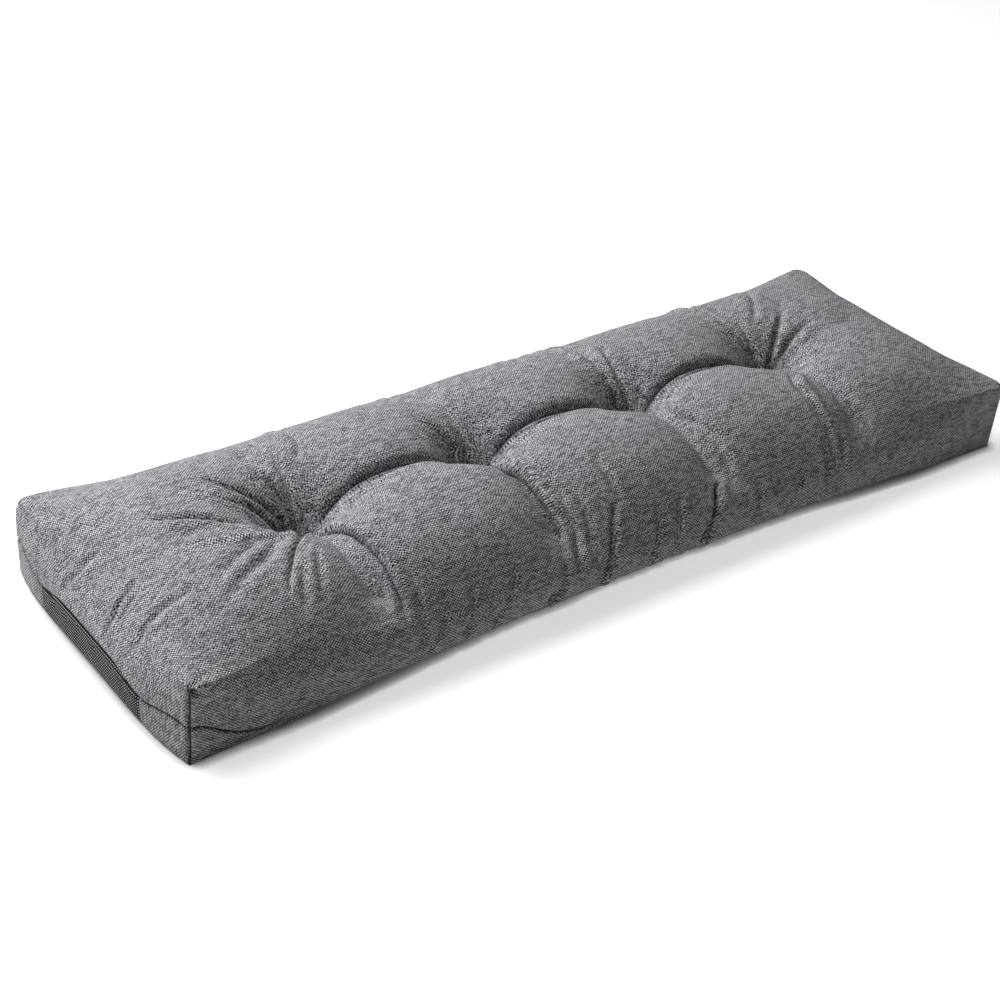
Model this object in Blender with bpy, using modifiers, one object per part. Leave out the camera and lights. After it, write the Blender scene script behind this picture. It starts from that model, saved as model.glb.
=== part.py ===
"""Tufted bench cushion: a grey filled body over a dark panel on its underside.

Metres, +Z up.  The origin is on the floor under the middle of the cushion, +X runs along its
length and -Y is its front.  The cushion lies on its back, so the tufted face looks up.

The cover is sewn as a box: a top shell with four boxed corners, closed at half height to a
bottom shell of two grey strips and one dark panel.  The sewn box is drawn flat first, on a grid
of planes, and `puffed` then moves every point of it to where the filling pushes it.
"""
from collections import namedtuple

import bmesh
import bpy
import numpy as np

# ---- driving dimensions --------------------------------------------------------------------------
LENGTH = 1.20            # corner to corner along X
WIDTH = 0.38             # corner to corner along Y
CORNER_HEIGHT = 0.094    # height of the sewn corner seams
SEAM_HEIGHT = 0.047      # perimeter seam between the top shell and the bottom shell
PANEL_WIDTH = 0.22       # dark panel, across
CLOTH = 0.0020           # thickness of the underside cloth
GAP = 0.0003             # clearance between pieces that touch
RIM_GAP = 1.6 * GAP      # between the top shell's overhang and the bottom shell under it

# ---- how the filling shapes the sewn box ---------------------------------------------------------
CROWN = 0.054            # how far it lifts the top above the corners
CROWN_POWER_X = 8        # a high power keeps the crown full almost to the edge
CROWN_POWER_Y = 2.6
TOP_SHOULDER = (0.075, 0.047)         # reach across and down of the soft upper edge
LOW_SHOULDER_MIDDLE = (0.100, 0.036)  # the same for the lower edge, in the middle of a long side
LOW_SHOULDER_END = (0.010, 0.010)     # and near the ends, which stand almost square on the floor
LOW_SHOULDER_TURN = 0.46              # distance from the middle where the lower edge is square
LOW_SHOULDER_BLEND = 0.7              # how evenly it changes on the way there
SHOULDER_POWER = 2.2     # 2 is a round shoulder, more is a squarer one
CORNER_REACH = 0.105     # how far a sewn corner stays sharp
SIDE_BULGE = 0.006       # outward swell of the long sides at half height
END_BULGE = 0.014        # outward swell of the two ends, which hang full down to the floor
END_BELLY_HEIGHT = 0.030              # where the ends swell most
END_BELLY_REACH = 0.062               # how far above and below that they still swell
DRAW_IN = 0.003          # how far the lower edge of a long side is pulled in
SEAM_DROP = 0.036        # how far the perimeter seam sinks along the long sides
SEAM_DROP_REACH = 0.045  # distance from a corner where it sinks
SEAM_DIP = 0.012         # how far it dips on the ends, where the dark panel meets a strip
SEAM_DIP_REACH = 0.035

# ---- tufts: stitches that pull the top face down, equally spaced on the centre line ------------
TUFT_COUNT = 4
TUFT_SPACING = LENGTH / (TUFT_COUNT + 1)
TUFT_X = [TUFT_SPACING * (i - (TUFT_COUNT - 1) / 2) for i in range(TUFT_COUNT)]
Tuft = namedtuple("Tuft", "x depth left right front back")   # how far each pit reaches, each way
TUFTS = [Tuft(TUFT_X[0], 0.118, 0.046, 0.047, 0.033, 0.044),
         Tuft(TUFT_X[1], 0.112, 0.037, 0.037, 0.024, 0.036),
         Tuft(TUFT_X[2], 0.112, 0.037, 0.037, 0.024, 0.036),
         Tuft(TUFT_X[3], 0.114, 0.047, 0.046, 0.034, 0.042)]
DEEPEST = 0.112          # the filling under a stitch keeps the top face from sinking further

# ---- main folds of the top face, as soft troughs: from (x, y) to (x, y) ------------------------
Fold = namedtuple("Fold", "x0 y0 x1 y1 depth reach")
VALLEY_DEPTH = 0.030     # between two tufts, where the front and back rows of pillows meet
VALLEY_REACH = 0.024
Cross = namedtuple("Cross", "start end depth reach")   # from each tuft to a long edge, along Y
FRONT_CROSS = Cross(-0.019, -0.150, 0.031, 0.026)
BACK_CROSS = Cross(0.020, 0.115, 0.015, 0.024)
END_FOLD_DEPTH = 0.010   # from the outer tufts towards the ends
END_FOLD_REACH = 0.022
END_FOLD_TIPS = ((0.50, 0.0), (0.45, -0.08), (0.45, 0.08))
UNION_POWER = 1.66       # how softly pits and folds run into each other: more is sharper
FADE_SHARE = 6           # they fade out where the crown is under one part in this many

VALLEYS = [Fold(a, 0.0, b, 0.0, VALLEY_DEPTH, VALLEY_REACH) for a, b in zip(TUFT_X, TUFT_X[1:])]
CROSSES = [Fold(x, cross.start, x, cross.end, cross.depth, cross.reach)
           for cross in (FRONT_CROSS, BACK_CROSS) for x in TUFT_X]
END_FOLDS = [Fold(side * TUFT_X[-1], 0.0, side * x, y, END_FOLD_DEPTH, END_FOLD_REACH)
             for side in (-1, 1) for x, y in END_FOLD_TIPS]
FOLDS = VALLEYS + CROSSES + END_FOLDS

# ---- grid of the sewn box ------------------------------------------------------------------------
GRID_STEP_X = LENGTH / 40
GRID_END_X = 0.590       # one more plane, in the tight lower edge of each end
GRID_Y = (0.010, 0.028, 0.050, 0.072, 0.092, 0.130, 0.152, 0.174)
GRID_Z = (0.008, 0.022, LOW_SHOULDER_MIDDLE[1], 0.070)
BODY_LINE = SEAM_HEIGHT - GAP / 6       # just under the overhang of the top shell
SEAM_SQUEEZE = (SEAM_HEIGHT - SEAM_DROP) / SEAM_HEIGHT   # of heights under the seam, where it sinks
SHEET_LINE = SEAM_HEIGHT - RIM_GAP / SEAM_SQUEEZE        # upper edge of the bottom shell
PANEL_LINE = PANEL_WIDTH / 2 - GAP / 2  # edge of the dark panel
STRIP_LINE = PANEL_WIDTH / 2 + GAP / 2  # inner edge of a grey strip

PLANE_TOLERANCE = 1e-7   # a grid plane this close to a point goes through it

# ---- powers that set how a change fades: the higher, the closer it keeps to its edge ------------
SEAM_DROP_POWER = 6      # the sinking of the seam, towards the long sides
SEAM_DIP_POWER = 20      # its dips, towards the ends
SIDE_SWELL_POWER = 3     # the swell of the long sides, towards the sides
END_SWELL_POWER = 12     # the swell of the ends, towards the ends
SIDE_CORNER_POWER = 6    # how full the long sides stay towards their corners
END_CORNER_POWER = 4     # and the ends towards theirs
BELLY_POWER = 4          # how full the swell stays above and below the seam
LIFT_POWER = 2           # how the crown's lift fades down the sides
SMOOTH_ANGLE = 0.9       # edges sharper than this stay sharp, in radians

HALF = np.array([LENGTH / 2, WIDTH / 2])


def out_share(values, half):
    """0 on the centre line, 1 at the edge."""
    return np.minimum(np.abs(values) / half, 1)


def rounded(points):
    """Round the long edges of the box, and leave the four sewn corners sharp."""
    side = np.sign(points[:, :2])
    middle = (1 - out_share(points[:, :1], LOW_SHOULDER_TURN) ** 2) ** LOW_SHOULDER_BLEND
    reach_low, drop_low = [end + (mid - end) * middle
                           for mid, end in zip(LOW_SHOULDER_MIDDLE, LOW_SHOULDER_END)]
    reach_top, drop_top = TOP_SHOULDER
    upper = points[:, 2:] > SEAM_HEIGHT
    reach = np.where(upper, reach_top, reach_low)
    drop = np.where(upper, drop_top, drop_low)
    inner_xy = np.minimum(np.abs(points[:, :2]), HALF - reach)
    inner_z = np.clip(points[:, 2:], drop_low, CORNER_HEIGHT - drop_top)
    inner = np.hstack([inner_xy * side, inner_z])
    size = np.hstack([reach, reach, drop])
    offset = (points - inner) / size
    norm = (np.abs(offset) ** SHOULDER_POWER).sum(1) ** (1 / SHOULDER_POWER)
    soft = inner + size * offset / np.maximum(norm, 1e-9)[:, None]
    corner_distance = np.hypot(*(HALF - np.abs(points[:, :2])).T)
    sharp = np.exp(-(corner_distance / CORNER_REACH) ** 2)[:, None]
    return soft + sharp * (points - soft)


def sunk(points):
    """Let the perimeter seam sink along the long sides, and stretch the cloth above it."""
    x, y, z = points.T
    from_corner = HALF[0] - np.abs(x)
    from_joint = np.abs(y) - PANEL_WIDTH / 2
    along_side = 1 - np.exp(-(from_corner / SEAM_DROP_REACH) ** 2)
    at_joint = np.exp(-(from_joint / SEAM_DIP_REACH) ** 2)
    drop = SEAM_DROP * along_side * out_share(y, HALF[1]) ** SEAM_DROP_POWER
    drop = drop + SEAM_DIP * at_joint * out_share(x, HALF[0]) ** SEAM_DIP_POWER
    below = z * (SEAM_HEIGHT - drop) / SEAM_HEIGHT
    share = (CORNER_HEIGHT - z) / (CORNER_HEIGHT - SEAM_HEIGHT)
    above = CORNER_HEIGHT - share * (CORNER_HEIGHT - SEAM_HEIGHT + drop)
    return np.stack([x, y, np.where(z > SEAM_HEIGHT, above, below)], axis=1)


def swollen(points):
    """Push the sides and ends out, and pull the lower edge of the sides in, between corners."""
    x, y, z = points.T
    between_ends = 1 - out_share(x, HALF[0]) ** SIDE_CORNER_POWER
    between_sides = 1 - out_share(y, HALF[1]) ** END_CORNER_POWER
    belly = np.clip(1 - ((z - SEAM_HEIGHT) / SEAM_HEIGHT) ** BELLY_POWER, 0, 1)
    end_belly = np.clip(1 - ((z - END_BELLY_HEIGHT) / END_BELLY_REACH) ** BELLY_POWER, 0, 1)
    under = np.clip(1 - z / LOW_SHOULDER_MIDDLE[1], 0, 1)
    side_push = (SIDE_BULGE * belly - DRAW_IN * under) * between_ends
    end_push = END_BULGE * end_belly * between_sides
    y = y + np.sign(y) * out_share(y, HALF[1]) ** SIDE_SWELL_POWER * side_push
    x = x + np.sign(x) * out_share(x, HALF[0]) ** END_SWELL_POWER * end_push
    return np.stack([x, y, z], axis=1)


def trough(x, y, fold):
    """Depth of one fold at (x, y): pointed along its line, fading out past its ends."""
    start = np.array([fold.x0, fold.y0])
    run = np.array([fold.x1, fold.y1]) - start
    place = np.stack([x, y], axis=1) - start
    share = np.clip(place @ run / (run @ run), 0, 1)
    distance = np.hypot(*(place - share[:, None] * run).T)
    return fold.depth * np.exp(-distance / fold.reach)


def pit(x, y, tuft):
    """Depth that one tuft pulls down at (x, y)."""
    along = (x - tuft.x) / np.where(x < tuft.x, tuft.left, tuft.right)
    across = y / np.where(y < 0, tuft.front, tuft.back)
    return tuft.depth * np.exp(-np.hypot(along, across))


def crown(x, y):
    """Height that the filling, the folds and the tufts add to the top face at (x, y)."""
    lift = CROWN * (1 - out_share(x, HALF[0]) ** CROWN_POWER_X)
    lift = lift * (1 - out_share(y, HALF[1]) ** CROWN_POWER_Y)
    pulls = [trough(x, y, fold) for fold in FOLDS] + [pit(x, y, tuft) for tuft in TUFTS]
    pull = sum(one ** UNION_POWER for one in pulls) ** (1 / UNION_POWER)
    return lift - np.minimum(pull, DEEPEST) * np.clip(lift / CROWN * FADE_SHARE, 0, 1)


def puffed(points):
    """Where the filling holds the points of the sewn box."""
    shaped = swollen(rounded(sunk(points)))
    share = np.clip(points[:, 2] / CORNER_HEIGHT, 0, 1) ** LIFT_POWER
    shaped[:, 2] += crown(shaped[:, 0], shaped[:, 1]) * share
    return shaped


def mirrored(values):
    return [-v for v in values] + list(values)


def sewn_box():
    """The box that the cover is sewn to, cut by the grid planes and then into triangles."""
    mesh = bmesh.new()
    bmesh.ops.create_cube(mesh, size=1.0)
    bmesh.ops.scale(mesh, vec=(LENGTH, WIDTH, CORNER_HEIGHT), verts=mesh.verts)
    bmesh.ops.translate(mesh, vec=(0, 0, CORNER_HEIGHT / 2), verts=mesh.verts)
    steps = round(LENGTH / GRID_STEP_X)
    across = [GRID_STEP_X * i - LENGTH / 2 for i in range(1, steps)] + [-GRID_END_X, GRID_END_X]
    planes = [((x, 0, 0), (1, 0, 0)) for x in across]
    planes += [((0, y, 0), (0, 1, 0)) for y in mirrored(GRID_Y + (PANEL_LINE, STRIP_LINE)) + [0]]
    planes += [((0, 0, z), (0, 0, 1)) for z in GRID_Z + (SHEET_LINE, BODY_LINE, SEAM_HEIGHT)]
    for point, normal in planes:
        geometry = mesh.verts[:] + mesh.edges[:] + mesh.faces[:]
        bmesh.ops.bisect_plane(mesh, geom=geometry, plane_co=point, plane_no=normal,
                               dist=PLANE_TOLERANCE)
    bmesh.ops.triangulate(mesh, faces=mesh.faces, quad_method="FIXED")
    return mesh


def puff(mesh):
    flat = np.array([vert.co for vert in mesh.verts])
    for vert, place in zip(mesh.verts, puffed(flat)):
        vert.co = place
    mesh.normal_update()


def material(name, colour, roughness):
    made = bpy.data.materials.new(name)
    made.use_nodes = True
    shader = made.node_tree.nodes["Principled BSDF"]
    shader.inputs["Base Color"].default_value = (*colour, 1)
    shader.inputs["Roughness"].default_value = roughness
    shader.inputs["Metallic"].default_value = 0.0
    return made


def add_object(name, mesh, finish, collection):
    data = bpy.data.meshes.new(name)
    mesh.to_mesh(data)
    mesh.free()
    data.shade_smooth()
    data.set_sharp_from_angle(angle=SMOOTH_ANGLE)
    data.materials.append(finish)
    made = bpy.data.objects.new(name, data)
    collection.objects.link(made)
    return made


def add_body(finish, collection):
    """Top shell and filling in one solid, its lower half set in by the bottom shell's cloth."""
    mesh = sewn_box()
    covered = [vert for vert in mesh.verts if vert.co.z < SEAM_HEIGHT - GAP / 12]
    puff(mesh)
    shifts = [vert.normal * vert.calc_shell_factor() * (CLOTH + GAP) for vert in covered]
    for vert, shift in zip(covered, shifts):
        vert.co -= shift
    return add_object("filled_body", mesh, finish, collection)


def add_sheet(name, low_y, high_y, finish, collection):
    """One piece of the bottom shell: the box's faces under the seam from low_y to high_y."""
    mesh = sewn_box()
    outside = []
    for face in mesh.faces:
        middle = face.calc_center_median()
        if middle.z > SHEET_LINE or not low_y < middle.y < high_y:
            outside.append(face)
    bmesh.ops.delete(mesh, geom=outside, context="FACES")
    puff(mesh)
    made = add_object(name, mesh, finish, collection)
    solid = made.modifiers.new("cloth thickness", "SOLIDIFY")
    solid.thickness = CLOTH
    solid.offset = -1
    solid.use_even_offset = True
    return made


def main():
    for old in list(bpy.data.objects):
        bpy.data.objects.remove(old)
    collection = bpy.data.collections.new("bench_cushion")
    bpy.context.scene.collection.children.link(collection)
    grey = material("grey melange cloth", (0.165, 0.165, 0.175), 0.95)
    dark = material("dark dotted cloth", (0.022, 0.022, 0.024), 0.85)
    add_body(grey, collection)
    add_sheet("front_strip", -WIDTH, -STRIP_LINE, grey, collection)
    add_sheet("back_strip", STRIP_LINE, WIDTH, grey, collection)
    add_sheet("dark_panel", -PANEL_LINE, PANEL_LINE, dark, collection)


main()
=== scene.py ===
"""Looks of the tufted bench cushion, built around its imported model.  Metres, +Z up.

The cover is drawn flat first, as the pieces that are cut from cloth, on a net that unfolds the
sewn box: p runs along the length and q across, and past an edge of the box both count on down its
side.  `puffed` says where the filling holds each point of the box, the creases are then pressed
in, in net coordinates, and the same coordinates carry the weave.
"""
from collections import namedtuple
from math import cos, pi, radians, sin

import bmesh
import bpy
import numpy as np
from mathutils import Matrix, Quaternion, Vector, noise


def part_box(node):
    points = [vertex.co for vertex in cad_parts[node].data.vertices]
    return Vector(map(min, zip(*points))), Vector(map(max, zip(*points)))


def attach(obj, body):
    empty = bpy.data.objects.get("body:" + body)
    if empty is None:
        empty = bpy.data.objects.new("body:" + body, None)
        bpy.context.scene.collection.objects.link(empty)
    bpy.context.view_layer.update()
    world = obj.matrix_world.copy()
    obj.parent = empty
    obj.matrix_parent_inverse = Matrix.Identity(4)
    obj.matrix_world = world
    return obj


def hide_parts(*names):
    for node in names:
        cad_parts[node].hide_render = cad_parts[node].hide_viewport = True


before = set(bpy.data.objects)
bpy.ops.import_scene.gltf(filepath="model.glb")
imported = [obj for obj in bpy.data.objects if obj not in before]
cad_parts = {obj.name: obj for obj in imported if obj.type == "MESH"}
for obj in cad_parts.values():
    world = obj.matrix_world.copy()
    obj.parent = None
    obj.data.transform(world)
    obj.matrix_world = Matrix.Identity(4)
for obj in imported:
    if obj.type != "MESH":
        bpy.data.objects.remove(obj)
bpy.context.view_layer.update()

MM = 0.001

# ---- sizes of the sewn box, from the frame where it has them ----
END_BULGE = 0.014  # outward swell of the two ends, which hang full down to the floor
GAP = 0.0003  # clearance between pieces that touch
panel_low, panel_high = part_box("dark_panel")
LENGTH = round(panel_high.x - panel_low.x - 2 * END_BULGE, 3)
PANEL_WIDTH = round(panel_high.y - panel_low.y + GAP, 3)
WIDTH = 0.38
CORNER_HEIGHT = 0.094
SEAM_HEIGHT = 0.047  # perimeter seam between the top shell and the bottom shell
CLOTH = 0.0018  # thickness of the underside cloth

# ---- how the filling shapes it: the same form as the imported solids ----
CROWN = 0.054
CROWN_POWER_X = 8
CROWN_POWER_Y = 2.6
TOP_SHOULDER = (0.075, 0.047)
LOW_SHOULDER_MIDDLE = (0.100, 0.036)
LOW_SHOULDER_END = (0.010, 0.010)
LOW_SHOULDER_TURN = 0.46
LOW_SHOULDER_BLEND = 0.7
SHOULDER_POWER = 2.2
CORNER_REACH = 0.105
END_BELLY_HEIGHT = 0.030
END_BELLY_REACH = 0.062
SIDE_BULGE = 0.006
DRAW_IN = 0.003
SEAM_DROP = 0.036
SEAM_DROP_REACH = 0.045
SEAM_DIP = 0.012
SEAM_DIP_REACH = 0.035
SEAM_DROP_POWER = 6
SEAM_DIP_POWER = 20
SIDE_SWELL_POWER = 3
END_SWELL_POWER = 12
SIDE_CORNER_POWER = 6
END_CORNER_POWER = 4
BELLY_POWER = 4
LIFT_POWER = 2
TUFT_COUNT = 4
TUFT_SPACING = LENGTH / (TUFT_COUNT + 1)
TUFT_X = [TUFT_SPACING * (i - (TUFT_COUNT - 1) / 2) for i in range(TUFT_COUNT)]

Fold = namedtuple("Fold", "x0 y0 x1 y1 depth reach")
VALLEY_DEPTH, VALLEY_REACH = 0.030, 0.024  # between two tufts
Cross = namedtuple("Cross", "start end depth reach")  # from each tuft to a long edge, along Y
FRONT_CROSS = Cross(-0.019, -0.150, 0.031, 0.026)
BACK_CROSS = Cross(0.020, 0.115, 0.015, 0.024)
END_FOLD_DEPTH, END_FOLD_REACH = 0.010, 0.022  # from the outer tufts towards the ends
END_FOLD_TIPS = ((0.50, 0.0), (0.45, -0.08), (0.45, 0.08))
VALLEYS = [Fold(a, 0.0, b, 0.0, VALLEY_DEPTH, VALLEY_REACH) for a, b in zip(TUFT_X, TUFT_X[1:])]
CROSSES = [Fold(x, cross.start, x, cross.end, cross.depth, cross.reach)
           for cross in (FRONT_CROSS, BACK_CROSS) for x in TUFT_X]
END_FOLDS = [Fold(side * TUFT_X[-1], 0.0, side * x, y, END_FOLD_DEPTH, END_FOLD_REACH)
             for side in (-1, 1) for x, y in END_FOLD_TIPS]
FOLDS = VALLEYS + CROSSES + END_FOLDS
Tuft = namedtuple("Tuft", "x depth left right front back")  # how far each pit reaches, each way
TUFTS = [Tuft(TUFT_X[0], 0.118, 0.046, 0.047, 0.033, 0.044),
         Tuft(TUFT_X[1], 0.112, 0.037, 0.037, 0.024, 0.036),
         Tuft(TUFT_X[2], 0.112, 0.037, 0.037, 0.024, 0.036),
         Tuft(TUFT_X[3], 0.114, 0.047, 0.046, 0.034, 0.042)]
UNION_POWER = 1.66  # how softly pits and folds run into each other
DEEPEST = 0.112  # the filling under a stitch keeps the top face from sinking further
FADE_SHARE = 6  # folds fade out where the crown is under one part in this many
TINY = 1e-9  # a length is never divided by less

HALF = np.array([LENGTH / 2, WIDTH / 2])


def unit(vectors):
    return vectors / np.maximum(np.linalg.norm(vectors, axis=1, keepdims=True), TINY)


def out_share(values, half):
    """0 on the centre line, 1 at the edge."""
    return np.minimum(np.abs(values) / half, 1)


def rounded(points):
    """Round the long edges of the box, and leave the four sewn corners sharp."""
    side = np.sign(points[:, :2])
    middle = (1 - out_share(points[:, :1], LOW_SHOULDER_TURN) ** 2) ** LOW_SHOULDER_BLEND
    reach_low, drop_low = [end + (mid - end) * middle
                           for mid, end in zip(LOW_SHOULDER_MIDDLE, LOW_SHOULDER_END)]
    reach_top, drop_top = TOP_SHOULDER
    upper = points[:, 2:] > SEAM_HEIGHT
    reach = np.where(upper, reach_top, reach_low)
    drop = np.where(upper, drop_top, drop_low)
    inner_xy = np.minimum(np.abs(points[:, :2]), HALF - reach)
    inner_z = np.clip(points[:, 2:], drop_low, CORNER_HEIGHT - drop_top)
    inner = np.hstack([inner_xy * side, inner_z])
    size = np.hstack([reach, reach, drop])
    offset = (points - inner) / size
    norm = (np.abs(offset) ** SHOULDER_POWER).sum(1) ** (1 / SHOULDER_POWER)
    soft = inner + size * offset / np.maximum(norm, TINY)[:, None]
    corner_distance = np.hypot(*(HALF - np.abs(points[:, :2])).T)
    sharp = np.exp(-(corner_distance / CORNER_REACH) ** 2)[:, None]
    return soft + sharp * (points - soft)


def sunk(points):
    """Let the perimeter seam sink along the long sides, and stretch the cloth above it."""
    x, y, z = points.T
    from_corner = HALF[0] - np.abs(x)
    from_joint = np.abs(y) - PANEL_WIDTH / 2
    along_side = 1 - np.exp(-(from_corner / SEAM_DROP_REACH) ** 2)
    at_joint = np.exp(-(from_joint / SEAM_DIP_REACH) ** 2)
    drop = SEAM_DROP * along_side * out_share(y, HALF[1]) ** SEAM_DROP_POWER
    drop = drop + SEAM_DIP * at_joint * out_share(x, HALF[0]) ** SEAM_DIP_POWER
    below = z * (SEAM_HEIGHT - drop) / SEAM_HEIGHT
    share = (CORNER_HEIGHT - z) / (CORNER_HEIGHT - SEAM_HEIGHT)
    above = CORNER_HEIGHT - share * (CORNER_HEIGHT - SEAM_HEIGHT + drop)
    return np.stack([x, y, np.where(z > SEAM_HEIGHT, above, below)], axis=1)


def swollen(points):
    """Push the sides and ends out, and pull the lower edge of the sides in, between corners."""
    x, y, z = points.T
    between_ends = 1 - out_share(x, HALF[0]) ** SIDE_CORNER_POWER
    between_sides = 1 - out_share(y, HALF[1]) ** END_CORNER_POWER
    belly = np.clip(1 - ((z - SEAM_HEIGHT) / SEAM_HEIGHT) ** BELLY_POWER, 0, 1)
    end_belly = np.clip(1 - ((z - END_BELLY_HEIGHT) / END_BELLY_REACH) ** BELLY_POWER, 0, 1)
    under = np.clip(1 - z / LOW_SHOULDER_MIDDLE[1], 0, 1)
    side_push = (SIDE_BULGE * belly - DRAW_IN * under) * between_ends
    end_push = END_BULGE * end_belly * between_sides
    y = y + np.sign(y) * out_share(y, HALF[1]) ** SIDE_SWELL_POWER * side_push
    x = x + np.sign(x) * out_share(x, HALF[0]) ** END_SWELL_POWER * end_push
    return np.stack([x, y, z], axis=1)


def trough(x, y, fold):
    """Depth of one fold at (x, y): pointed along its line, fading out past its ends."""
    start = np.array([fold.x0, fold.y0])
    run = np.array([fold.x1, fold.y1]) - start
    place = np.stack([x, y], axis=1) - start
    share = np.clip(place @ run / (run @ run), 0, 1)
    distance = np.hypot(*(place - share[:, None] * run).T)
    return fold.depth * np.exp(-distance / fold.reach)


def pit(x, y, tuft):
    """Depth that one tuft pulls down at (x, y)."""
    along = (x - tuft.x) / np.where(x < tuft.x, tuft.left, tuft.right)
    across = y / np.where(y < 0, tuft.front, tuft.back)
    return tuft.depth * np.exp(-np.hypot(along, across))


def crown(x, y):
    """Height that the filling, the folds and the tufts add to the top face at (x, y)."""
    lift = CROWN * (1 - out_share(x, HALF[0]) ** CROWN_POWER_X)
    lift = lift * (1 - out_share(y, HALF[1]) ** CROWN_POWER_Y)
    pulls = [trough(x, y, fold) for fold in FOLDS] + [pit(x, y, tuft) for tuft in TUFTS]
    pull = sum(one ** UNION_POWER for one in pulls) ** (1 / UNION_POWER)
    return lift - np.minimum(pull, DEEPEST) * np.clip(lift / CROWN * FADE_SHARE, 0, 1)


def puffed(points):
    """Where the filling holds the points of the sewn box."""
    shaped = swollen(rounded(sunk(points)))
    share = np.clip(points[:, 2] / CORNER_HEIGHT, 0, 1) ** LIFT_POWER
    shaped[:, 2] += crown(shaped[:, 0], shaped[:, 1]) * share
    return shaped


# ---- the net: flat cloth, cut to the box and sewn at its corners ----
SIDE_DROP = CORNER_HEIGHT - SEAM_HEIGHT  # height of the top shell's sides
FINE = (0.0008, 0.0020, 0.0040, 0.0070)  # extra grid lines this far from an edge or a seam
TOP_STEP = 0.0032
UNDER_STEP = 0.0042
SIDE_STEP = 0.0036
APART = 0.4  # share of a step that a plain grid line keeps from the extra ones
SAME = 1e-7  # net coordinates this close are the same
EASE_ROUNDS = 260  # how long the weave is eased towards the length of the shaped cloth
EASE_STEP = 1.6
EASE_HOLD = 0.001  # how firmly it is held to the flat net
EASE_LEAST, EASE_MOST = 0.90, 1.08  # its length in a crease, of that on the smooth form


def spaced(start, end, step):
    count = max(1, round((end - start) / step))
    return np.linspace(start, end, count + 1)


def net_lines(half, drop, step, seams=()):
    """Grid lines of one net direction: the face, its two turned-down sides, closer at seams."""
    face = spaced(0, half, step)
    side = half + spaced(0, drop, SIDE_STEP)
    near = [half + s * d for d in FINE for s in (-1, 1)] + [half + drop - d for d in FINE]
    near += [seam + s * d for seam in seams for d in (0,) + FINE for s in (-1, 1)]
    keep = [v for v in np.concatenate([face, side])
            if min(abs(v - n) for n in near) > APART * step or v in (0, half, half + drop)]
    lines = np.unique(np.round(keep + near, 7))
    return np.concatenate([-lines[:0:-1], lines])


def halved(lines):
    """The lines with one more in the middle of every two."""
    both = np.empty(2 * len(lines) - 1)
    both[::2] = lines
    both[1::2] = (lines[1:] + lines[:-1]) / 2
    return both


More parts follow.
